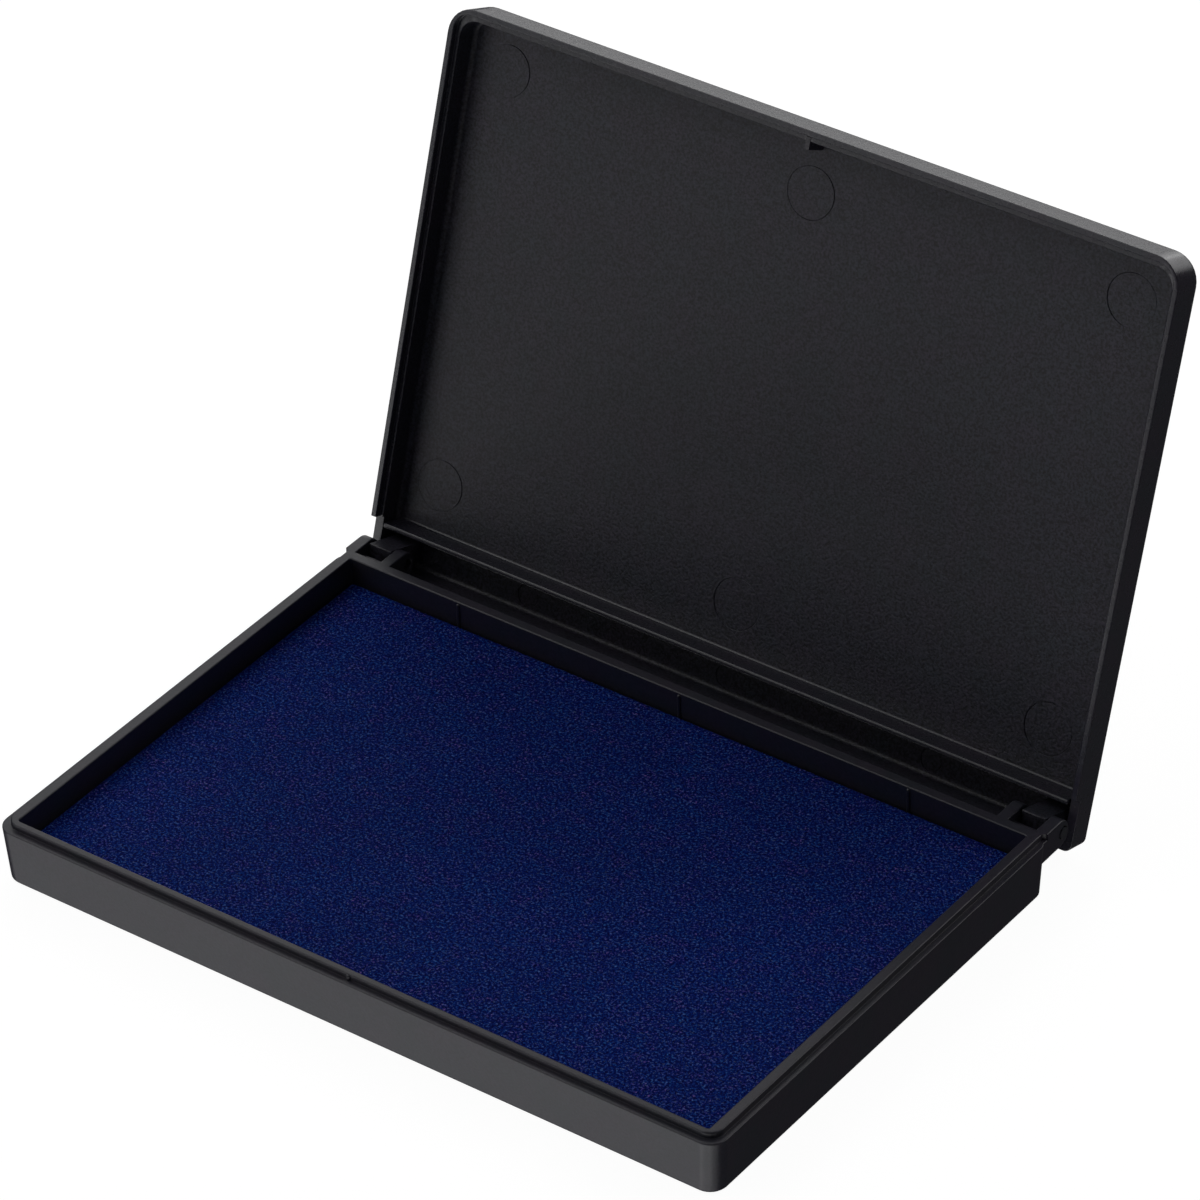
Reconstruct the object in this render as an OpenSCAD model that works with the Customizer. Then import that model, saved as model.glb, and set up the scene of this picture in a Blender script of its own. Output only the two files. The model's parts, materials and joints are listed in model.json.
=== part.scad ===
// Hinged ink pad: a moulded tray with an inked felt pad in its well, and a moulded lid on two hinge pins.
// Frame: origin at the middle of the well on the resting face, +X along the long side, +Y toward the
// hinge, +Z up. The lid is drawn shut and then swung back by lid_open about the hinge axis.

/* [Tray] */
// Length of the well opening, along X
well_l = 111.6; // [100:0.1:124]
// Width of the well opening, along Y
well_w = 71.7; // [64:0.1:80]
// Height of the tray from the resting face to the top of its lip
tray_h = 9.35; // [8.6:0.05:12]
// Width of the lip on the left and right sides
lip_side = 1.55; // [1.2:0.05:2]
// Width of the lip at the front
lip_front = 1.0; // [0.8:0.05:1.4]
// Width of the top of the rear wall
rear_wall = 1.6; // [1.2:0.05:1.7]
// Width of the ledge outside the lip, on which the lid's rim lands
ledge_w = 0.95; // [0.9:0.05:1.2]
// Depth of the ledge below the top of the lip
ledge_drop = 0.9; // [0.85:0.05:1]
// How much the outer walls draw in from the ledge to the resting face
draft = 0.37; // [0:0.01:0.6]
// Radius of the tray's two front corners
corner_r = 2.6; // [2:0.1:4]
// Radius of the lip's two front corners
lip_corner_r = 2.1; // [2:0.05:3]
// Radius of the tray's two rear corners
rear_corner_r = 1.0; // [0.6:0.1:1.4]
// Radius of the edge around the resting face
foot_r = 0.5; // [0.2:0.1:1]
// Thickness of the tray's floor
floor_t = 1.4; // [1:0.1:1.8]

/* [Lid] */
// Height of the lid from its rim to its top face
lid_h = 5.95; // [5.8:0.05:8]
// Depth of the hollow inside the lid
lid_depth = 4.6; // [4.4:0.05:4.8]
// Thickness of the lid's side walls
lid_side_wall = 1.4; // [1.2:0.05:1.6]
// Thickness of the lid's front wall
lid_front_wall = 1.85; // [1.4:0.05:2]
// Thickness of the lid's rear wall
lid_rear_wall = 1.1; // [0.9:0.05:1.15]
// Thickness of the thin tongue along the rim, which drops outside the lip
tongue_t = 0.8; // [0.6:0.05:0.85]
// Depth of the rebate behind the tongue
tongue_h = 1.0; // [0.95:0.05:1.1]
// Radius of the lid's two front corners
lid_corner_r = 4.0; // [3.2:0.1:4.2]
// Radius of the tongue's inner corners, a little more than the lip's outer ones
tongue_corner_r = 2.5; // [2.4:0.05:2.55]
// Radius of the lid's top edge
lid_top_r = 1.1; // [0.5:0.1:1.3]
// How much the lid's outer walls draw in from the rim to the top face
lid_draft = 0.3; // [0:0.01:0.4]
// Diameter of the ejector marks inside the lid
mark_d = 7.5; // [5:0.1:8]

/* [Hinge] */
// How far the lid is swung back from shut
lid_open = 108.1; // [0:0.1:108.1]
// Distance of the hinge axis behind the rear wall
axis_back = 3.85; // [3.85:0.05:4]
// Depth of the hinge axis below the top of the lip
axis_drop = 2.02; // [1.98:0.01:2.05]
// Diameter of a hinge pin
pin_d = 1.6; // [1.2:0.1:1.8]
// Running clearance on radius between a pin and the lid's lug
pin_gap = 0.04; // [0.02:0.01:0.08]
// Height of the hinge arms
arm_h = 4.1; // [4:0.05:4.2]
// Thickness of the outer hinge arms
ear_t = 2.05; // [1.8:0.05:2.2]
// Thickness of the inner hinge arms
inner_arm_t = 1.8; // [1.2:0.1:2.2]
// Width of the pocket between an outer and an inner arm
pocket_w = 4.2; // [3.6:0.1:5]

/* [Pad] */
// Depth of the pad's top below the top of the lip
pad_drop = 3.55; // [3.2:0.05:4.5]
// Gap between the pad and the walls of the well
pad_gap = 0.45; // [0.4:0.05:0.6]
// Thickness of the cloth over the felt
cloth_t = 0.3; // [0.2:0.05:0.4]
// Thickness of the board under the felt
board_t = 0.8; // [0.5:0.1:1]

/* [Hidden] */
$fn = 48;
e = 0.01;                                  // thickness of the slices that a hull joins

half_l = well_l / 2;
half_w = well_w / 2;
lip_x = half_l + lip_side;                 // outer face of the side lips
lip_y = half_w + lip_front;                // outer face of the front lip
case_x = lip_x + ledge_w;                  // outer faces of the tray and of the lid
case_y = lip_y + ledge_w + 0.1;            // outer face of the tray's front wall
rear_y = half_w + rear_wall;               // outer face of the rear wall
ledge_z = tray_h - ledge_drop;

axis_y = rear_y + axis_back;
axis_z = tray_h - axis_drop;
arm_r = arm_h / 2;
arm_end = axis_y - 0.65;                   // centre of the arms' round ends
ear_x1 = case_x - 0.15;
ear_x0 = ear_x1 - ear_t;
inner_x1 = ear_x0 - pocket_w;
inner_x0 = inner_x1 - inner_arm_t;

lid_gap = 0.12;                            // between the lid's rim and the ledge when shut
rim_z = ledge_z + lid_gap;
lid_top_z = rim_z + lid_h;
panel_z = rim_z + lid_depth;
lid_front_y = -(case_y + 0.05);
lid_rear_y = axis_y + 3.45;
cut_y = rear_y - 0.4;                      // behind this the rim steps up to clear the arms
cut_rim_z = rim_z + 1.3;
lug_w = pocket_w - 0.5;
lug_x0 = inner_x1 + 0.3;
lug_front = 1.53;                          // reach of the lug before, behind and below the axis
lug_rear = 1.71;
lug_below = 1.68;
stop_y = rear_y + 1.66;                    // face that the open lug rests on

floor_z = floor_t;
pad_x = half_l - pad_gap;
pad_y = half_w - pad_gap;
pad_top = tray_h - pad_drop;

// One thin slice of a rounded box: rf rounds the two front corners and rr the two rear ones.
module slice(x, y0, y1, rf, rr, z) {
    for (s = [-1, 1]) {
        translate([s * (x - rf), y0 + rf, z]) cylinder(r = rf, h = e);
        translate([s * (x - rr), y1 - rr, z]) cylinder(r = rr, h = e);
    }
}

// An upright block whose two front corners are rounded.
module round_front(x, y0, y1, r, z0, z1) {
    translate([0, 0, z0]) linear_extrude(z1 - z0) {
        for (s = [-1, 1]) translate([s * (x - r), y0 + r]) circle(r = r);
        translate([-x + r, y0]) square([2 * (x - r), 2 * r]);
        translate([-x, y0 + r]) square([2 * x, y1 - y0 - r]);
    }
}

// Draws its children at the right end and mirrored at the left end.
module both_ends() {
    children();
    mirror([1, 0, 0]) children();
}

// Side view of an arm: a bar from y0 that ends round behind the hinge axis.
module arm(x0, x1, y0) {
    translate([x0, 0, 0]) rotate([90, 0, 90]) linear_extrude(x1 - x0) {
        translate([y0, tray_h - arm_h]) square([arm_end - y0, arm_h]);
        translate([arm_end, tray_h - arm_r]) circle(r = arm_r);
    }
}

module pin_hole(x0, x1, r) {
    translate([x0, axis_y, axis_z]) rotate([0, 90, 0]) cylinder(r = r, h = x1 - x0);
}

module tray_walls() {
    // outer walls, drawing in toward a rounded foot
    hull() {
        slice(case_x, -case_y, rear_y, corner_r, rear_corner_r, ledge_z - e);
        for (a = [0, 45, 90]) {
            i = draft + foot_r * (1 - cos(a));
            slice(case_x - i, -case_y + i, rear_y - i / 2,
                  corner_r - foot_r * (1 - cos(a)), rear_corner_r - foot_r * (1 - cos(a)),
                  foot_r * (1 - sin(a)));
        }
    }
    // lip
    round_front(lip_x, -lip_y, rear_y, lip_corner_r, floor_z, tray_h);
    // arms, and the stop block between each pair
    both_ends() {
        arm(ear_x0, lip_x, half_w + 0.5);
        arm(lip_x - 0.5, ear_x1, rear_y - 0.05);
        arm(inner_x0, inner_x1, half_w + 0.5);
        translate([inner_x1 - 0.2, rear_y - 0.5, tray_h - arm_h])
            cube([pocket_w + 0.4, stop_y - rear_y + 0.5, arm_h - 1.25]);
    }
    // bump at the middle of the front lip, which the lid clicks over
    translate([0, -lip_y + 0.1, ledge_z - 0.2]) cylinder(r = 0.4, h = ledge_drop - 0.1);
}

module tray() {
    color([0.11, 0.11, 0.12]) {
        difference() {
            tray_walls();
            translate([-half_l, -half_w, floor_z]) cube([well_l, well_w, tray_h]);
            both_ends() pin_hole(inner_x1 - 1, ear_x1 + 1, pin_d / 2);
        }
        // thin ribs that keep the pad off the rear wall
        for (x = [-1, 0, 1] * well_l / 3)
            translate([x - 0.3, half_w - 0.3, floor_z - 0.2]) cube([0.6, 0.5, tray_h - floor_z]);
    }
}

// Lid, shut.
module lid_outer() {
    hull() {
        slice(case_x, lid_front_y, lid_rear_y, lid_corner_r, 1.2, rim_z);
        for (a = [0, 22.5, 45, 67.5, 90]) {
            c = lid_top_r * (1 - cos(a));
            i = lid_draft + c;
            slice(case_x - i, lid_front_y + i, lid_rear_y - i, lid_corner_r - c, 1.2 - c,
                  lid_top_z - e - lid_top_r * (1 - sin(a)));
        }
    }
}

// Side view of a lug: it hangs from the panel past the hinge axis. The corner that leads when the lid
// opens is rounded, and the other one lands on the tray's stop block.
module lug() {
    r = 0.6;
    translate([lug_x0, 0, 0]) rotate([90, 0, 90]) linear_extrude(lug_w) {
        translate([axis_y - lug_front, axis_z - lug_below + r])
            square([lug_front + lug_rear, panel_z - axis_z + lug_below - r + e]);
        translate([axis_y - lug_front + r, axis_z - lug_below]) square([lug_front + lug_rear - r, r + e]);
        translate([axis_y - lug_front + r, axis_z - lug_below + r]) circle(r = r);
    }
}

module lid_shut() {
    difference() {
        union() {
            difference() {
                lid_outer();
                round_front(case_x - lid_side_wall, lid_front_y + lid_front_wall, lid_rear_y - lid_rear_wall,
                            lid_corner_r - lid_side_wall, rim_z - 1, panel_z);
                round_front(case_x - tongue_t, lid_front_y + tongue_t, cut_y + 0.5,
                            tongue_corner_r, rim_z - 1, rim_z + tongue_h);
                // the rim is cut back over the arms
                translate([-case_x - 1, cut_y, rim_z - 1])
                    cube([2 * case_x + 2, lid_rear_y - cut_y + 1, cut_rim_z - rim_z + 1]);
            }
            both_ends() lug();
            // rib that closes just above the tray's rear wall
            translate([-case_x + lid_side_wall + 0.3, rear_y + 0.28, tray_h + 0.12])
                cube([2 * (case_x - lid_side_wall - 0.3), 0.75, panel_z - tray_h - 0.1]);
            // small gusset inside the middle of the front wall
            translate([-0.35, 0, 0]) rotate([90, 0, 90]) linear_extrude(0.7)
                polygon([[lid_front_y + 1.2, tray_h + 0.1], [lid_front_y + lid_front_wall + 1.1, tray_h + 0.1],
                         [lid_front_y + lid_front_wall + 1.75, panel_z + 0.1], [lid_front_y + 1.2, panel_z + 0.1]]);
        }
        both_ends() pin_hole(lug_x0 - 0.2, lug_x0 + lug_w + 0.1, pin_d / 2 + pin_gap);
        // groove in the tongue for the bump on the front lip
        translate([0, -lip_y + 0.1, rim_z - 1]) cylinder(r = 0.5, h = tongue_h + 1);
        // ejector marks: two rows on the panel and one between the rib and the rear wall
        for (x = [-50.3, 0, 50.3], row = [[-29.6, 0], [31.2, 0]])
            translate([x, row[0] + (x == 0 && row[0] < 0 ? 1.6 : 0), panel_z - 1])
                cylinder(d = mark_d, h = 1.1);
        for (x = [-33.5, 0, 33.5]) translate([x, axis_y + 0.1, panel_z - 1]) cylinder(d = 3.4, h = 1.08);
    }
}

module lid() {
    color([0.12, 0.12, 0.13])
        translate([0, axis_y, axis_z]) rotate([-lid_open, 0, 0]) translate([0, -axis_y, -axis_z]) lid_shut();
}

module hinge_pins() {
    color([0.14, 0.14, 0.15]) both_ends() pin_hole(inner_x1 - 1, ear_x1, pin_d / 2);
}

module pad_board() {
    color([0.62, 0.60, 0.55])
        translate([-pad_x, -pad_y, floor_z]) cube([2 * pad_x, 2 * pad_y, board_t]);
}

module pad_felt() {
    color([0.05, 0.09, 0.30]) translate([-pad_x + cloth_t, -pad_y + cloth_t, floor_z + board_t])
        cube([2 * (pad_x - cloth_t), 2 * (pad_y - cloth_t), pad_top - cloth_t - floor_z - board_t]);
}

module pad_cloth() {
    color([0.05, 0.09, 0.27]) difference() {
        translate([-pad_x, -pad_y, floor_z + board_t])
            cube([2 * pad_x, 2 * pad_y, pad_top - floor_z - board_t]);
        translate([-pad_x + cloth_t, -pad_y + cloth_t, floor_z])
            cube([2 * (pad_x - cloth_t), 2 * (pad_y - cloth_t), pad_top - cloth_t - floor_z]);
    }
}

tray();
lid();
hinge_pins();
pad_board();
pad_felt();
pad_cloth();
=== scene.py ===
"""Looks of the hinged ink pad.

The tray and the lid are made again with rounded edges, draft and mould marks, and the pad with a felted face.
Then come the materials, what rides on what, the studio and the camera.
"""

import json
import math

import bpy
import numpy as np
from mathutils import Matrix, Vector
from mathutils.geometry import tessellate_polygon


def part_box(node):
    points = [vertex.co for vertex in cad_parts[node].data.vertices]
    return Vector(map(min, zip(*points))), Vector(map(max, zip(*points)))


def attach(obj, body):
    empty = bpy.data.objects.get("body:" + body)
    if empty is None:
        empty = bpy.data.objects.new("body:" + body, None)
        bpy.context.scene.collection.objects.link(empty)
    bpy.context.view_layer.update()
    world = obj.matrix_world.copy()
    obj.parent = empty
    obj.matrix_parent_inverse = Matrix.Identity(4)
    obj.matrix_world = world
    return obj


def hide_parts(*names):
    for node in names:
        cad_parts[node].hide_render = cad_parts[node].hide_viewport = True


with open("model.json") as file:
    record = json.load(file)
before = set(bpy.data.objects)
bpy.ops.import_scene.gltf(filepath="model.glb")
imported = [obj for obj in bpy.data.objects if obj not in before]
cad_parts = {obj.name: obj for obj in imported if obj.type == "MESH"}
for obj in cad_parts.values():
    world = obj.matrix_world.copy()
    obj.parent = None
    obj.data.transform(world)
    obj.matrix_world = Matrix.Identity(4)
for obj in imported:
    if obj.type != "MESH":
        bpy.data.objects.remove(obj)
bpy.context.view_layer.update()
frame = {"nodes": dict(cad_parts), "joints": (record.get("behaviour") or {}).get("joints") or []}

MM = 0.001
LID_JOINT = frame["joints"][0]
AXIS_Y, AXIS_Z = LID_JOINT["pos_m"][1] / MM, LID_JOINT["pos_m"][2] / MM
OPEN_DEG = LID_JOINT["range_deg"][1]


def box_mm(node):
    lo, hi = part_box(node)
    return lo / MM, hi / MM


tray_lo, tray_hi = box_mm("tray")
cloth_lo, cloth_hi = box_mm("pad_cloth")
felt_lo, felt_hi = box_mm("pad_felt")

# ---------------------------------------------------------------- mesh tools, all in millimetres

UP, DOWN = Vector((0, 0, 1)), Vector((0, 0, -1))
LEFT, RIGHT = Vector((-1, 0, 0)), Vector((1, 0, 0))
SHARP_DEG = 38.0  # edges that turn more than this stay sharp


class Shell:
    """Vertices and faces of one piece, gathered shell by shell."""

    def __init__(self):
        self.verts, self.faces, self.rough_spans = [], [], []

    def ring(self, points):
        """Adds a closed loop of points and returns their numbers."""
        start = len(self.verts)
        self.verts += [tuple(p) for p in points]
        return list(range(start, len(self.verts)))

    def loft(self, rings):
        """Joins each ring to the next. Where two corners are the same point the face is a triangle."""
        for a, b in zip(rings, rings[1:]):
            for i in range(len(a)):
                j = (i + 1) % len(a)
                corners = []
                for v in (a[i], a[j], b[j], b[i]):
                    if v not in corners:
                        corners.append(v)
                if len(corners) > 2:
                    self.faces.append(tuple(corners))

    def cap(self, ring, towards, holes=()):
        """Closes a flat ring, leaving the holes open; towards is the way it faces."""
        loops = [[Vector(self.verts[i]) for i in r] for r in (ring, *holes)]
        index = [i for r in (ring, *holes) for i in r]
        if not holes:
            n = sum((a.cross(b) for a, b in zip(loops[0], loops[0][1:] + loops[0][:1])), Vector())
            self.faces.append(tuple(ring if n.dot(towards) > 0 else reversed(ring)))
            return
        for tri in tessellate_polygon(loops):
            a, b, c = (Vector(self.verts[index[k]]) for k in tri)
            turn = (b - a).cross(c - a).dot(towards)
            tri = tri if turn > 0 else tuple(reversed(tri))
            self.faces.append(tuple(index[k] for k in tri))

    def mirrored(self, start_vert, start_face):
        """Adds the mirror image, left for right, of everything since those counts."""
        shift = len(self.verts) - start_vert
        self.verts += [(-x, y, z) for x, y, z in self.verts[start_vert:]]
        self.faces += [tuple(i + shift for i in reversed(f)) for f in self.faces[start_face:]]

    def build(self, name, turn=None):
        """Makes the Blender object, its faces in rough_spans with the second material."""
        mesh = bpy.data.meshes.new(name)
        mesh.from_pydata([(x * MM, y * MM, z * MM) for x, y, z in self.verts], [], self.faces)
        if turn is not None:
            mesh.transform(turn)
        for first, last in self.rough_spans:
            for face in mesh.polygons[first:last]:
                face.material_index = 1
        mesh.validate()
        mesh.shade_smooth()
        mesh.set_sharp_from_angle(angle=math.radians(SHARP_DEG))
        obj = bpy.data.objects.new(name, mesh)
        bpy.context.scene.collection.objects.link(obj)
        weighted = obj.modifiers.new("flat_faces_stay_flat", "WEIGHTED_NORMAL")
        weighted.keep_sharp = True
        return obj


def quarter(steps):
    """Angles of a quarter turn."""
    return [math.pi / 2 * i / steps for i in range(steps + 1)]


def circle(steps):
    """Angles of a full turn."""
    return [math.tau * i / steps for i in range(steps)]


def rounded_rect(x, y0, y1, rf, rr, z, behind, breaks=(), notch=None):
    """A rounded rectangle, counter-clockwise from above, rf at its front corners and rr at its rear ones.

    behind is (x, z) at the rear. breaks are (y, share of behind) along the sides; without them the change is
    made round the rear corners. notch is (half width, depth) of a dent outward at the middle of the front.
    """
    xb, zb = behind
    points = []

    def put(px, py, share):
        points.append((px + (xb - x) * share * (1 if px > 0 else -1), py, z + (zb - z) * share))

    # the same points lie across the middle of the front with or without a notch, so that rings match
    width, depth = notch or (0.5, 0.0)
    for s in (-1.4, -1, -0.7, 0, 0.7, 1, 1.4):
        put(s * width, y0 - depth * (1 - min(1, abs(s)) ** 2), 0)
    for a in quarter(8):
        put(x - rf + rf * math.sin(a), y0 + rf - rf * math.cos(a), 0)
    for y, share in breaks:
        put(x, y, share)
    for a in quarter(6):
        share = 1 if breaks else a / (math.pi / 2)
        put(x - rr + rr * math.cos(a), y1 - rr + rr * math.sin(a), share)
    for a in quarter(6):
        share = 1 if breaks else 1 - a / (math.pi / 2)
        put(-x + rr - rr * math.sin(a), y1 - rr + rr * math.cos(a), share)
    for y, share in reversed(breaks):
        put(-x, y, share)
    for a in quarter(8):
        put(-x + rf - rf * math.cos(a), y0 + rf - rf * math.sin(a), 0)
    return points


def column(shell, rings):
    """Lofts flat rings up Z and closes both ends."""
    shell.loft(rings)
    shell.cap(rings[0], DOWN)
    shell.cap(rings[-1], UP)


def bar(shell, loops, hole=None):
    """Lofts (x, loop of (y, z)) along X and closes both ends, with a round hole (y, z, r) right through."""
    rings = [shell.ring([(x, y, z) for y, z in loop]) for x, loop in loops]
    shell.loft(rings)
    tube = []
    if hole:
        y, z, r = hole
        edge = 0.08
        x0, x1 = loops[0][0], loops[-1][0]
        for x, radius in ((x0, r + edge), (x0 + edge, r), (x1 - edge, r), (x1, r + edge)):
            tube.append(shell.ring([(x, y + radius * math.sin(a), z + radius * math.cos(a))
                                    for a in circle(32)]))
        shell.loft(tube)
    shell.cap(rings[0], LEFT, tube[:1])
    shell.cap(rings[-1], RIGHT, tube[-1:])


def rounded_start(x0, fillet, steps=4):
    """(x, inset) pairs that round the left end of a bar."""
    if not fillet:
        return [(x0, 0)]
    return [(x0 + fillet * (1 - math.cos(a)), fillet * (1 - math.sin(a))) for a in quarter(steps)]


def rounded_end(x1, fillet, steps=4):
    """(x, inset) pairs that round the right end of a bar."""
    if not fillet:
        return [(x1, 0)]
    return [(x1 - fillet * (1 - math.sin(a)), fillet * (1 - math.cos(a))) for a in quarter(steps)]


def ends(x0, x1, fillet0, fillet1, steps=4):
    """(x, inset) pairs that round the two ends of a bar."""
    return rounded_start(x0, fillet0, steps) + rounded_end(x1, fillet1, steps)


def rounded_poly(corners, steps=4):
    """A loop through (y, z, radius) corners, each rounded to its radius."""
    out = []
    n = len(corners)
    for i in range(n):
        p = Vector(corners[i][:2])
        a, b = Vector(corners[i - 1][:2]), Vector(corners[(i + 1) % n][:2])
        r = corners[i][2]
        if r <= 0:
            out.append((p.x, p.y))
            continue
        ua, ub = (a - p).normalized(), (b - p).normalized()
        half = ua.angle(ub) / 2
        reach = r / math.tan(half)
        start, end = p + ua * reach, p + ub * reach
        centre = p + (ua + ub).normalized() * (r / math.sin(half))
        v0, v1 = start - centre, end - centre
        total = v0.angle(v1)
        for k in range(steps + 1):
            w = total * k / steps
            v = (v0 * math.sin(total - w) + v1 * math.sin(w)) / math.sin(total)
            out.append((centre.x + v.x, centre.y + v.y))
    return out


# ---------------------------------------------------------------- tray

CASE_X, FRONT_Y, TRAY_H = tray_hi.x, tray_lo.y, tray_hi.z
LIP_X, LIP_Y = CASE_X - 0.95, -FRONT_Y - 1.05
WELL_X, WELL_Y = LIP_X - 1.55, LIP_Y - 1.0
REAR_Y = WELL_Y + 1.6
LEDGE_Z = TRAY_H - 0.9
FLOOR_Z = 1.4
# how far the walls taper to the foot all round, and how much more at the sides
DRAFT, SIDE_DRAFT = 0.37, 0.12
# corners seen from above
CASE_R, CASE_REAR_R, LIP_R, LIP_REAR_R, WELL_R = 2.6, 1.8, 2.1, 0.4, 0.35
# rounded edges and fillets, from the foot up and down again to the well's floor
FOOT_EDGE, LEDGE_EDGE, LEDGE_ROOT, LIP_EDGE, WELL_EDGE, FLOOR_ROOT = 0.5, 0.16, 0.05, 0.22, 0.2, 0.3
ARM_H = 4.1
ARM_LOW = TRAY_H - ARM_H
ARM_R = ARM_H / 2
ARM_END_Y = AXIS_Y - 0.65
ARM_EDGE = 0.22
EAR_X0, EAR_X1 = 56.1, CASE_X - 0.3
INNER_X0, INNER_X1 = 50.1, 51.9
STOP_Y, STOP_TOP = REAR_Y + 1.66, TRAY_H - 1.25
PIN_R = 0.8
SINK = 0.01  # how far a part sinks into the one it stands on, so that no two faces lie in one plane


def add_arms(s):
    """The right ear, inner arm and stop block, and their mirror images."""
    first_vert, first_face = len(s.verts), len(s.faces)
    lift = 0.004  # keeps the arms' tops out of the lip's plane

    def arm_loop(y0, d):
        loop = [(y0, TRAY_H + lift - d), (y0, ARM_LOW + d)]
        loop += [(ARM_END_Y + (ARM_R - d) * math.sin(a), TRAY_H + lift - ARM_R - (ARM_R - d) * math.cos(a))
                 for a in [math.pi * i / 20 for i in range(21)]]
        return loop

    # ear: from inside the rear wall, its front end flares out of the lip in an S curve
    inside = REAR_Y - 0.4
    flare_x0, flare_x1 = LIP_X - 0.05, EAR_X1 - ARM_EDGE
    flare_y0, flare_y1 = REAR_Y - 0.34, REAR_Y + 0.2
    plan = [(x, inside, d) for x, d in rounded_start(EAR_X0, ARM_EDGE)]
    plan += [(flare_x0 + (flare_x1 - flare_x0) * t,
              flare_y0 + (flare_y1 - flare_y0) * (0.5 - math.asin(1 - 2 * t) / math.pi), 0.0)
             for t in [k / 8 for k in range(8)]]
    plan += [(x, flare_y1, d) for x, d in rounded_end(EAR_X1, ARM_EDGE, 5)]
    bar(s, [(x, arm_loop(y, d)) for x, y, d in plan], hole=(AXIS_Y, AXIS_Z, PIN_R + 0.1))
    bar(s, [(x, arm_loop(inside, d)) for x, d in ends(INNER_X0, INNER_X1, ARM_EDGE, ARM_EDGE)],
        hole=(AXIS_Y, AXIS_Z, PIN_R))

    # the ear's root below the ledge runs on from the side wall, with no step at the tray's corner
    y0, y1, top = REAR_Y - 1.6, REAR_Y + 0.5, LEDGE_Z - SINK
    bar(s, [(x, [(y0, top - d), (y0, ARM_LOW + d), (y1, ARM_LOW + d), (y1, top - d)])
            for x, d in ends(EAR_X0 + 0.5, EAR_X1 - 0.003, 0, 0.16)])

    # block that the open lid's lug rests on
    low = ARM_LOW + 0.05
    block = rounded_poly([(inside, STOP_TOP, 0), (inside, low, 0),
                          (STOP_Y, low, 0.15), (STOP_Y, STOP_TOP, 0.2)])
    bar(s, [(x, block) for x in (INNER_X1 - 0.2, EAR_X0 + 0.2)])
    s.mirrored(first_vert, first_face)


def add_well_ribs(s):
    """Ribs on the rear wall of the well, round-nosed and rounded over at the top."""
    rib_r, shoulder = 0.3, TRAY_H - 0.55
    levels = [(FLOOR_Z + 0.1, 0.0)]
    levels += [(shoulder + rib_r * math.sin(a), rib_r * (1 - math.cos(a))) for a in quarter(4)]
    for x in (-WELL_X * 2 / 3, 0, WELL_X * 2 / 3):
        rings = []
        for z, d in levels:
            r = max(rib_r - d, 0.03)
            nose = [(x - r * math.cos(a), WELL_Y + 0.02 - r * math.sin(a), z)
                    for a in [math.pi * i / 8 for i in range(9)]]
            rings.append(s.ring(nose + [(x + r, WELL_Y + rib_r, z), (x - r, WELL_Y + rib_r, z)]))
        column(s, rings)


def add_bump(s):
    """The bump on the front lip that the lid clicks over."""
    bump_r, dome = 0.4, 0.25
    levels = [(LEDGE_Z + 0.02, bump_r)]
    levels += [(LEDGE_Z + 0.5 + dome * math.sin(a), bump_r - dome * (1 - math.cos(a))) for a in quarter(4)]
    column(s, [s.ring([(r * math.cos(t), -LIP_Y + 0.1 + r * math.sin(t), z) for t in circle(24)])
               for z, r in levels])


def tray_shell():
    s = Shell()
    rings = []

    def add(x, y0, y1, rf, rr, z, rear_z=None):
        rings.append(s.ring(rounded_rect(x, -y0, y1, rf, rr, z, behind=(x, rear_z or z))))

    case_y = -FRONT_Y
    for a in reversed(quarter(5)):
        c = FOOT_EDGE * (1 - math.cos(a))
        i = DRAFT + c
        add(CASE_X - i - SIDE_DRAFT, case_y - i, REAR_Y - i / 2, CASE_R - c, CASE_REAR_R - c,
            FOOT_EDGE * (1 - math.sin(a)))
    # at the rear, where there is no ledge, these rings only step up the wall
    rear = [LEDGE_Z - LEDGE_EDGE + 0.05 * k for k in range(10)]
    for a, rear_z in zip(quarter(4), rear[:5]):
        c = LEDGE_EDGE * (1 - math.cos(a))
        add(CASE_X - c, case_y - c, REAR_Y, CASE_R - c, CASE_REAR_R,
            LEDGE_Z - LEDGE_EDGE * (1 - math.sin(a)), rear_z)
    for a, rear_z in zip(quarter(4), rear[5:]):
        c = LEDGE_ROOT * (1 - math.sin(a))
        add(LIP_X + c, LIP_Y + c, REAR_Y, LIP_R + c, LIP_REAR_R,
            LEDGE_Z + LEDGE_ROOT * (1 - math.cos(a)), rear_z)
    for a in quarter(5):
        c = LIP_EDGE * (1 - math.cos(a))
        add(LIP_X - c, LIP_Y - c, REAR_Y - c, LIP_R - c, LIP_REAR_R, TRAY_H - LIP_EDGE * (1 - math.sin(a)))
    for a in quarter(5):
        c = WELL_EDGE * (1 - math.sin(a))
        add(WELL_X + c, WELL_Y + c, WELL_Y + c, WELL_R + c, WELL_R + c,
            TRAY_H - WELL_EDGE * (1 - math.cos(a)))
    for a in quarter(3):
        c = FLOOR_ROOT * (1 - math.cos(a))
        add(WELL_X - c, WELL_Y - c, WELL_Y - c, WELL_R, WELL_R, FLOOR_Z + FLOOR_ROOT * (1 - math.sin(a)))
    column(s, rings)
    add_arms(s)
    add_well_ribs(s)
    add_bump(s)
    return s


# ---------------------------------------------------------------- lid, drawn shut and swung open at the end

RIM_Z = LEDGE_Z + 0.12
LID_TOP_Z = RIM_Z + 5.95
PANEL_Z = RIM_Z + 4.6
LID_FRONT, LID_REAR = FRONT_Y - 0.05, AXIS_Y + 3.65
CUT_Y = REAR_Y - 0.4
CUT_Z = RIM_Z + 1.3
WALL_SIDE, WALL_FRONT, WALL_REAR = 1.4, 1.85, 1.1
TONGUE_T, TONGUE_H = 0.85, 1.0
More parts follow.
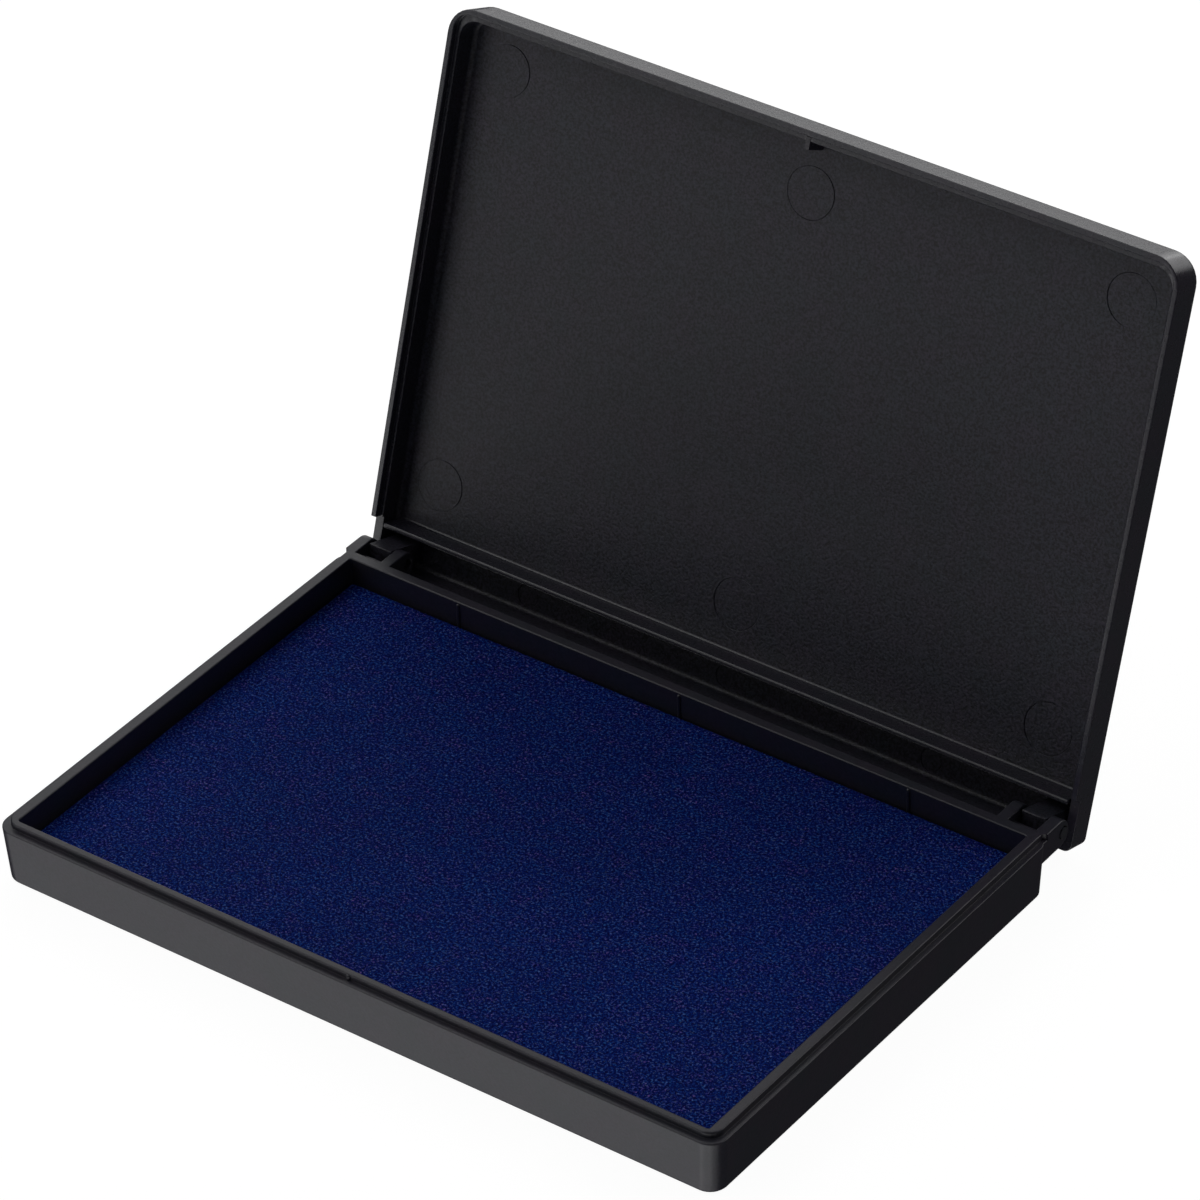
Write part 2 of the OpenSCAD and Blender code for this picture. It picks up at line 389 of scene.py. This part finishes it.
# corners seen from above: the lid's outside, its hollow, the tongue's inside and the rear
LID_R, HOLLOW_R, TONGUE_R, LID_REAR_R = 4.0, 2.6, 2.5, 1.2
# how far the front wall and the side walls taper to the panel
FRONT_TAPER, SIDE_TAPER = 0.3, 0.15
BIG_R, SMALL_R = 3.75, 1.7
MARKS = (
    # x, y, radius, the way in degrees to where the arc is deepest, and how deep it is on the far side
    (-50.7, -29.8, BIG_R, -20, 0.1),
    (-0.3, -28.2, BIG_R, 10, 0.45),
    (49.7, -29.4, BIG_R, 190, 0.25),
    (-50.7, 30.9, BIG_R, -10, 0.3),
    (-0.4, 30.9, BIG_R, 190, 0.3),
    (49.8, 30.9, BIG_R, 200, 0.4),
    *((x, AXIS_Y + 0.1, SMALL_R, 180, 0.5) for x in (-33.5, 0, 33.5)),
)
# rings of a mark's groove: what is added to the radius, and the depth
GROOVE = ((0.03, 0.0), (-0.01, 0.15), (-0.1, 0.15), (-0.15, 0.01))


def add_panel(s, edge):
    """Closes the lid's inside at the panel, with the shallow arcs that the mould's ejectors leave."""
    holes = []
    for x, y, r, towards, far in MARKS:
        around = [-t for t in circle(64)]
        deep = [far + (1 - far) * max(0.0, math.cos(t - math.radians(towards))) ** 0.6 for t in around]
        groove = [s.ring([(x + (r + wider) * math.cos(t), y + (r + wider) * math.sin(t), PANEL_Z + depth * d)
                          for t, d in zip(around, deep)]) for wider, depth in GROOVE]
        for a, b in zip(groove, groove[1:]):
            s.loft([b, a])
        s.cap(groove[-1], DOWN)
        holes.append(groove[0])
    s.cap(edge, DOWN, holes)


def add_rib_and_lugs(s):
    """The rib that closes above the tray's rear wall, and the lugs that turn on the pins."""
    up = PANEL_Z + 0.3
    y0, y1, z0 = REAR_Y + 0.28, REAR_Y + 1.03, TRAY_H + 0.12
    half = CASE_X - WALL_SIDE - 0.3
    root, nose = 0.35, 0.26

    def rib(d):
        flare = [(root * (1 - math.cos(a)), PANEL_Z + SINK - root * (1 - math.sin(a))) for a in quarter(4)]
        left = [(y0 - out, z) for out, z in reversed(flare)]
        right = [(y1 + out, z) for out, z in flare]
        low = [(y0 + d + nose * (1 - math.cos(a)), z0 + d + nose * (1 - math.sin(a))) for a in quarter(5)]
        low += [(y1 - d - nose * (1 - math.sin(a)), z0 + d + nose * (1 - math.cos(a))) for a in quarter(5)]
        return [(left[0][0], up)] + left + low + right + [(right[-1][0], up)]

    bar(s, [(x, rib(d)) for x, d in ends(-half, half, 0.12, 0.12, 3)])

    first_vert, first_face = len(s.verts), len(s.faces)
    lug_x0 = INNER_X1 + 0.3
    lug_x1 = lug_x0 + (EAR_X0 - INNER_X1 - 0.5)
    front, rear, below, rise = 1.53, 1.71, 1.6, 0.75

    def lug(d):
        a, b, low = AXIS_Y - front + d, AXIS_Y + rear - d, AXIS_Z - below + d
        return rounded_poly([(a, up, 0), (a, low, 0.16), (b, low + rise, 0.3), (b, up, 0)])

    bar(s, [(x, lug(d)) for x, d in ends(lug_x0, lug_x1, 0.06, 0.06, 2)], hole=(AXIS_Y, AXIS_Z, PIN_R + 0.04))
    s.mirrored(first_vert, first_face)
    s.rough_spans.append((first_face, len(s.faces)))


def add_gusset(s):
    """The small gusset inside the middle of the front wall."""
    a, b, foot, tip = LID_FRONT + 1.2, LID_FRONT + WALL_FRONT, PANEL_Z + 0.1, TRAY_H + 0.1
    gusset = [(a, foot), (a, tip), (b + 1.1, tip), (b + 1.75, foot)]
    bar(s, [(x, gusset) for x in (-0.35, 0.35)])


def lid_shell():
    s = Shell()
    rings = []
    # points along the sides: the rim steps up at the cut, over twice this length, to clear the tray's arms
    step = 0.04
    breaks = ((-10.0, 0), (CUT_Y - step, 0), (CUT_Y + step, 1), (CUT_Y + 2.0, 1))

    def add(side, front, z, rf, side_b=None, z_b=None, notch=None):
        """side and front are the distances in from the outer faces; side_b and z_b hold behind the cut."""
        side_b = side if side_b is None else side_b
        z_b = z if z_b is None else z_b
        rear = LID_REAR - WALL_REAR * min(1.0, side_b / WALL_SIDE) - max(0.0, side_b - WALL_SIDE)
        rear_r = max(0.5, LID_REAR_R - side_b)
        rings.append(s.ring(rounded_rect(CASE_X - side, LID_FRONT + front, rear, rf, rear_r, z,
                                         behind=(CASE_X - side_b, z_b), breaks=breaks, notch=notch)))

    fillet = 0.7
    for a in quarter(6):
        c = fillet * (1 - math.sin(a))
        add(WALL_SIDE + c, WALL_FRONT + c, PANEL_Z - fillet * (1 - math.cos(a)), max(HOLLOW_R - c, 0.5))
    # the rebate at the tongue's foot, which behind the cut is the rim's inner edge
    rebate, soft, fine = RIM_Z + TONGUE_H, 0.12, 0.025
    for a in quarter(3):
        c = soft * (1 - math.cos(a))
        add(WALL_SIDE - c, WALL_FRONT - c, rebate + soft * (1 - math.sin(a)), HOLLOW_R + c,
            WALL_SIDE - 0.2 * c, CUT_Z + fine * (1 - math.sin(a)))
    inside = len(rings)
    dent = (0.5, 0.12)  # in the tongue, for the bump on the tray's front lip
    for k, a in enumerate(quarter(2)):
        c = 0.1 * math.cos(a)
        add(TONGUE_T + c, TONGUE_T + c, rebate - 0.1 * math.sin(a), TONGUE_R - c, 1.1 - 0.1 * k, CUT_Z, dent)
    edge = 0.14
    for k, a in enumerate(quarter(4)):
        c = edge * (1 - math.cos(a))
        add(TONGUE_T - c, TONGUE_T - c, RIM_Z + edge * (1 - math.sin(a)), TONGUE_R + c,
            0.8 - 0.1 * k, CUT_Z, dent)
    for a in quarter(4):
        c = edge * (1 - math.sin(a))
        z = edge * (1 - math.cos(a))
        add(c, c, RIM_Z + z, LID_R - c, None, CUT_Z + z)
    top = 1.1
    for a in quarter(8):
        c = top * (1 - math.cos(a))
        i = FRONT_TAPER + c
        add(i - (FRONT_TAPER - SIDE_TAPER), i, LID_TOP_Z - top * (1 - math.sin(a)), LID_R - c)
    s.loft(rings[inside - 1:])
    s.cap(rings[-1], UP)

    # the inside keeps the mould's rough finish
    first = len(s.faces)
    s.loft(rings[:inside])
    add_panel(s, rings[0])
    s.rough_spans.append((first, len(s.faces)))
    add_rib_and_lugs(s)
    add_gusset(s)
    return s


# ---------------------------------------------------------------- ink pad


def smooth_noise(x, y, cell, seed):
    """Value noise, 0 to 1, on arrays of positions in millimetres."""
    rng = np.random.default_rng(seed)
    nx, ny = int(np.ptp(x) / cell) + 4, int(np.ptp(y) / cell) + 4
    grid = rng.random((nx, ny))
    u, v = (x - x.min()) / cell, (y - y.min()) / cell
    i, j = u.astype(int), v.astype(int)
    u, v = u - i, v - j
    u, v = u * u * (3 - 2 * u), v * v * (3 - 2 * v)
    return ((grid[i, j] * (1 - u) + grid[i + 1, j] * u) * (1 - v)
            + (grid[i, j + 1] * (1 - u) + grid[i + 1, j + 1] * u) * v)


def pad_shell(lo, hi, r, cell, relief, wall=0.0):
    """A flat pad with a rounded top edge and a finely uneven top. wall makes it a cover, open below."""
    s = Shell()
    x1, y1 = hi.x - r, hi.y - r
    nx, ny = round(2 * x1 / cell), round(2 * y1 / cell)
    gx, gy = np.meshgrid(np.linspace(-x1, x1, nx + 1), np.linspace(-y1, y1, ny + 1), indexing="ij")
    # share of the relief, size of its hills and seed of each layer
    layers = ((0.45, 9.0, 3), (0.3, 2.2, 4), (0.25, 0.6, 5))
    z = hi.z - relief + relief * sum(share * smooth_noise(gx, gy, size, seed) for share, size, seed in layers)
    s.verts = list(zip(gx.ravel().tolist(), gy.ravel().tolist(), z.ravel().tolist()))

    def at(i, j):
        return i * (ny + 1) + j

    s.faces = [(at(i, j), at(i + 1, j), at(i + 1, j + 1), at(i, j + 1)) for i in range(nx) for j in range(ny)]
    # the top's edge as (vertex, direction outward in degrees), each corner turned in steps
    edge = []
    sides = (([(i, 0) for i in range(nx + 1)], -90), ([(nx, j) for j in range(ny + 1)], 0),
             ([(i, ny) for i in range(nx, -1, -1)], 90), ([(0, j) for j in range(ny, -1, -1)], 180))
    for cells, deg in sides:
        edge += [(at(i, j), deg) for i, j in cells]
        edge += [(edge[-1][0], deg + 90 * k / 5) for k in range(1, 5)]

    def offset(out, height=None, drop=0.0):
        """The edge moved outward, at one height or else dropped from where it is."""
        points = []
        for v, deg in edge:
            x, y, z = s.verts[v]
            turn = math.radians(deg)
            z = z - drop if height is None else height
            points.append((x + out * math.cos(turn), y + out * math.sin(turn), z))
        return s.ring(points)

    rings = [[v for v, _ in edge]]
    rings += [offset(r * math.sin(a), drop=r * (1 - math.cos(a))) for a in quarter(6)[1:]]
    rings += [offset(r, lo.z + 0.1), offset(r - 0.1, lo.z)]
    if wall:
        rings += [offset(r - wall + 0.05, lo.z), offset(r - wall, lo.z + 0.05),
                  offset(r - wall, hi.z - wall - 0.25), offset(r - wall - 0.2, hi.z - wall - 0.05)]
    s.loft([list(reversed(q)) for q in rings])
    s.cap(rings[-1], DOWN)
    return s


swing = (Matrix.Translation((0, AXIS_Y * MM, AXIS_Z * MM)) @ Matrix.Rotation(-math.radians(OPEN_DEG), 4, "X")
         @ Matrix.Translation((0, -AXIS_Y * MM, -AXIS_Z * MM)))
tray = tray_shell().build("case_tray")
lid = lid_shell().build("case_lid", turn=swing)
cloth = pad_shell(cloth_lo, cloth_hi, r=0.5, cell=0.5, relief=0.07, wall=0.26).build("inked_cloth")
CLOTH_CLEARANCE = Vector((0, 0, 0.06))
felt = pad_shell(felt_lo, felt_hi - CLOTH_CLEARANCE, r=0.3, cell=2.5, relief=0.03).build("felt_core")

# ---------------------------------------------------------------- materials


def material(name, colour, roughness):
    """A new material, its node tree and its shader."""
    mat = bpy.data.materials.new(name)
    mat.use_nodes = True
    tree = mat.node_tree
    shader = tree.nodes["Principled BSDF"]
    shader.inputs["Base Color"].default_value = (*colour, 1)
    shader.inputs["Roughness"].default_value = roughness
    return mat, tree, shader


def node(tree, kind, **values):
    """A new node with these values on its input sockets."""
    made = tree.nodes.new(kind)
    for name, value in values.items():
        made.inputs[name.replace("_", " ")].default_value = value
    return made


def noise(tree, scale_mm, detail=2.0, rough=0.5):
    """Noise in object space whose grains are about scale_mm across."""
    coords = node(tree, "ShaderNodeTexCoord")
    made = node(tree, "ShaderNodeTexNoise", Scale=1 / (scale_mm * MM), Detail=detail, Roughness=rough)
    tree.links.new(coords.outputs["Object"], made.inputs["Vector"])
    return made


def ramp(tree, source, stops):
    """A colour ramp over source with (position, colour) stops."""
    made = node(tree, "ShaderNodeValToRGB")
    while len(made.color_ramp.elements) < len(stops):
        made.color_ramp.elements.new(0.5)
    for element, (at, colour) in zip(made.color_ramp.elements, stops):
        element.position = at
        element.color = (*colour, 1)
    tree.links.new(source, made.inputs["Fac"])
    return made


def blended(tree, how, first, second):
    """The output of a full mix of two colours, how being MULTIPLY or ADD."""
    made = node(tree, "ShaderNodeMix")
    made.data_type, made.blend_type = "RGBA", how
    made.inputs["Factor"].default_value = 1.0
    for socket, source in ((6, first), (7, second)):  # the two colour inputs; 2 is the colour output
        tree.links.new(source, made.inputs[socket])
    return made.outputs[2]


def roughen(tree, shader, height, depth_mm):
    """Turns a height from 0 to 1 into relief of that depth."""
    bump = node(tree, "ShaderNodeBump", Strength=1.0, Distance=depth_mm * MM)
    tree.links.new(height, bump.inputs["Height"])
    tree.links.new(bump.outputs["Normal"], shader.inputs["Normal"])


def plastic(name, colour, roughness, grain_mm, depth_mm, fleck=0.0, sheen=0.5):
    """Moulded black plastic: fine spark-eroded grain, slightly uneven gloss and tint.

    grain_mm is how wide the grain is and depth_mm how deep, fleck how far it shows in the colour, and sheen
    how strongly the surface reflects.
    """
    mat, tree, shader = material(name, colour, roughness)
    warm, cool = (tuple(c * k for c, k in zip(colour, mix)) for mix in ((1.1, 0.98, 1.03), (0.9, 1.02, 0.97)))
    tint = ramp(tree, noise(tree, 5.0, 3).outputs["Fac"], [(0.35, cool), (0.65, warm)])
    grain = noise(tree, grain_mm, 2, 0.6)
    tone = ramp(tree, grain.outputs["Fac"], [(0.36, (1 - fleck,) * 3), (0.64, (1 + fleck,) * 3)])
    base = blended(tree, "MULTIPLY", tint.outputs["Color"], tone.outputs["Color"])
    tree.links.new(base, shader.inputs["Base Color"])
    gloss = node(tree, "ShaderNodeMapRange", To_Min=roughness - 0.04, To_Max=roughness + 0.04)
    tree.links.new(noise(tree, 1.6, 3).outputs["Fac"], gloss.inputs["Value"])
    tree.links.new(gloss.outputs["Result"], shader.inputs["Roughness"])
    shader.inputs["Specular IOR Level"].default_value = sheen
    roughen(tree, shader, grain.outputs["Fac"], depth_mm)
    return mat


PLASTIC = (0.0225, 0.0215, 0.0325)
PIN_PLASTIC = (0.025, 0.025, 0.033)
tray_mat = plastic("case_plastic", PLASTIC, 0.36, grain_mm=0.4, depth_mm=0.02, fleck=0.15)
lid_mat = plastic("lid_plastic", PLASTIC, 0.27, grain_mm=0.4, depth_mm=0.012, fleck=0.1, sheen=0.66)
lid_inside_mat = plastic("lid_plastic_rough", PLASTIC, 0.46, grain_mm=0.36, depth_mm=0.07, fleck=0.75)
pin_mat = plastic("pin_plastic", PIN_PLASTIC, 0.3, grain_mm=0.3, depth_mm=0.004)


def inked_felt():
    """Felted cloth full of blue ink: dense fibre grain, slow tints, and painted highlights, pale glints put
    into the colour where fibres stand proud and scattered between them.
    """
    mat, tree, shader = material("inked_cloth", (0.005, 0.017, 0.15), 0.9)
    grain = noise(tree, 0.36, 2, 0.75)
    # fibre grain colour; its top stop is a painted highlight, pale glints on the brightest grains
    fibre_and_painted_glint = ramp(tree, grain.outputs["Fac"],
                 [(0.4, (0.0000, 0.0014, 0.050)), (0.5, (0.0002, 0.0082, 0.125)),
                  (0.59, (0.0035, 0.0265, 0.220)), (0.69, (0.0850, 0.1250, 0.360))])
    # painted highlights: pale glints scattered through the colour
    painted_glint = ramp(tree, noise(tree, 0.34, 1, 0.5).outputs["Fac"],
                 [(0.6, (0, 0, 0)), (0.7, (0.055, 0.085, 0.165))])
    tint = ramp(tree, noise(tree, 2.2, 3, 0.6).outputs["Fac"],
                [(0.36, (0.4, 1.12, 1.04)), (0.5, (0.8, 1, 1)), (0.64, (2.4, 0.84, 0.93))])
    wear = ramp(tree, noise(tree, 24.0, 2, 0.5).outputs["Fac"], [(0.3, (0.93,) * 3), (0.7, (1.07,) * 3)])
    tinted = blended(tree, "MULTIPLY", fibre_and_painted_glint.outputs["Color"], tint.outputs["Color"])
    with_painted_glints = blended(tree, "ADD", tinted, painted_glint.outputs["Color"])
    worn = blended(tree, "MULTIPLY", with_painted_glints, wear.outputs["Color"])
    tree.links.new(worn, shader.inputs["Base Color"])
    roughen(tree, shader, grain.outputs["Fac"], 0.12)
    shader.inputs["Specular IOR Level"].default_value = 0.08
    return mat


def mottled(name, roughness, mean, grain, dark, pale):
    """A dull material whose colour goes between dark and pale. grain is its noise's size in mm and detail."""
    mat, tree, shader = material(name, mean, roughness)
    tone = ramp(tree, noise(tree, *grain, 0.7).outputs["Fac"], [(0.3, dark), (0.7, pale)])
    tree.links.new(tone.outputs["Color"], shader.inputs["Base Color"])
    return mat


cloth_mat = inked_felt()
felt_mat = mottled("felt", 0.95, (0.006, 0.014, 0.09), (0.4, 4), (0.002, 0.006, 0.04), (0.01, 0.02, 0.13))
board_mat = mottled("board", 0.8, (0.35, 0.33, 0.29), (0.7, 5), (0.28, 0.26, 0.22), (0.42, 0.40, 0.35))

for obj, *mats in ((tray, tray_mat), (lid, lid_mat, lid_inside_mat), (cloth, cloth_mat), (felt, felt_mat)):
    for mat in mats:
        obj.data.materials.append(mat)
for name, mat in (("hinge_pins", pin_mat), ("pad_board", board_mat)):
    for slot in frame["nodes"][name].material_slots:
        slot.material = mat

# ---------------------------------------------------------------- what rides on what

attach(tray, "base")
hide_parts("tray")
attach(lid, "cover")
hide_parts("lid")
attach(cloth, "base")
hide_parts("pad_cloth")
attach(felt, "base")
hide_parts("pad_felt")

# ---------------------------------------------------------------- studio

scene = bpy.context.scene
scene.view_settings.view_transform = "Standard"
scene.view_settings.look = "None"


def stage_mesh(name, verts, faces, colour, glow):
    """A white surface round the object, which only the camera sees. The soft boxes below light the object."""
    mesh = bpy.data.meshes.new(name)
    mesh.from_pydata(verts, [], faces)
    obj = bpy.data.objects.new(name, mesh)
    scene.collection.objects.link(obj)
    mat, _, shader = material(name, colour, 1.0)
    shader.inputs["Specular IOR Level"].default_value = 0.0
    shader.inputs["Emission Color"].default_value = (1, 1, 1, 1)
    shader.inputs["Emission Strength"].default_value = glow
    mesh.materials.append(mat)
    obj.visible_glossy = obj.visible_diffuse = obj.visible_transmission = obj.visible_shadow = False


REACH, FLOOR_DROP, BACKDROP_LOW = 6.0, 0.0001, -0.2
square = [(-REACH, -REACH), (REACH, -REACH), (REACH, REACH), (-REACH, REACH)]
stage_mesh("floor", [(x, y, -FLOOR_DROP) for x, y in square], [(0, 1, 2, 3)], (0.12, 0.12, 0.12), 0.955)
stage_mesh("backdrop", [(x, y, z) for z in (BACKDROP_LOW, REACH) for x, y in square],
           [(0, 1, 5, 4), (1, 2, 6, 5), (2, 3, 7, 6), (3, 0, 4, 7), (4, 5, 6, 7)], (0, 0, 0), 1.0)

world = bpy.data.worlds.new("studio")
scene.world = world
world.use_nodes = True
world.node_tree.nodes["Background"].inputs["Color"].default_value = (1, 1, 1, 1)
world.node_tree.nodes["Background"].inputs["Strength"].default_value = 0.04


AIM = Vector((0, 0, 0.02))  # the point that the lights face


def light(name, azimuth, elevation, distance, width, height, radiance):
    """A soft box that faces the object. Azimuth 0 is in front of it and 90 on its right.

    radiance is how bright the box's face is. With an elevation below 0 it shines up through the floor, which
    casts no shadow, and stands for the light that a white table throws back.
    """
    az, el = math.radians(azimuth), math.radians(elevation)
    at = Vector((math.sin(az) * math.cos(el), -math.cos(az) * math.cos(el), math.sin(el))) * distance
    data = bpy.data.lights.new(name, "AREA")
    data.shape, data.size, data.size_y = "RECTANGLE", width, height
    data.energy = radiance * math.pi * width * height
    obj = bpy.data.objects.new(name, data)
    obj.location = at + AIM
    obj.rotation_euler = (-at).to_track_quat("-Z", "Y").to_euler()
    obj.visible_camera = False
    scene.collection.objects.link(obj)


LIGHTS = (
    # name, azimuth, elevation, distance, width, height, radiance
    ("back_left_high", -143, 38, 1.0, 0.7, 0.5, 1.11),
    ("back_left_low", -150, 8, 1.0, 0.8, 0.3, 1.42),
    ("back_low", 175, 13, 1.0, 0.6, 0.35, 1.35),
    ("back_right", 145, 40, 1.0, 0.7, 0.6, 1.40),
    ("overhead", 0, 88, 1.0, 0.7, 0.7, 0.22),
    ("left", -90, 45, 1.0, 0.7, 0.6, 1.36),
    ("front_left_high", -40, 50, 1.0, 0.7, 0.6, 0.60),
    ("front_left", -35, 15, 1.0, 0.6, 0.35, 0.90),
    ("front_left_low", -35, -7.2, 1.0, 0.4, 0.15, 1.88),
    ("right", 80, 10, 1.0, 0.5, 0.4, 0.22),
    ("card_front_left", -37, -35, 0.6, 0.5, 0.4, 0.93),
    ("card_front", 10, -35, 0.6, 0.5, 0.4, 1.48),
    ("card_front_right", 50, -35, 0.6, 0.35, 0.4, 0.75),
)
for row in LIGHTS:
    light(*row)

# ---------------------------------------------------------------- camera

LENS_MM, SENSOR_MM = 212.98, 36.0
CAMERA_AZIMUTH, CAMERA_ELEVATION, CAMERA_ROLL = 37.134, 35.787, 1.837
CAMERA_AT_MM = (454.71, -581.54, 577.87)

camera_data = bpy.data.cameras.new("camera")
camera_data.lens, camera_data.sensor_width = LENS_MM, SENSOR_MM
camera_data.clip_start, camera_data.clip_end = 0.05, 20.0
camera = bpy.data.objects.new("camera", camera_data)
scene.collection.objects.link(camera)
scene.camera = camera
az, el, roll = (math.radians(v) for v in (CAMERA_AZIMUTH, CAMERA_ELEVATION, CAMERA_ROLL))
forward = Vector((-math.sin(az) * math.cos(el), math.cos(az) * math.cos(el), -math.sin(el)))
right = Vector((math.cos(az), math.sin(az), 0))
down = forward.cross(right)
turned_right = math.cos(roll) * right + math.sin(roll) * down
turned_down = -math.sin(roll) * right + math.cos(roll) * down
placed = Matrix((turned_right, -turned_down, -forward)).transposed().to_4x4()
placed.translation = Vector(CAMERA_AT_MM) * MM
camera.matrix_world = placed
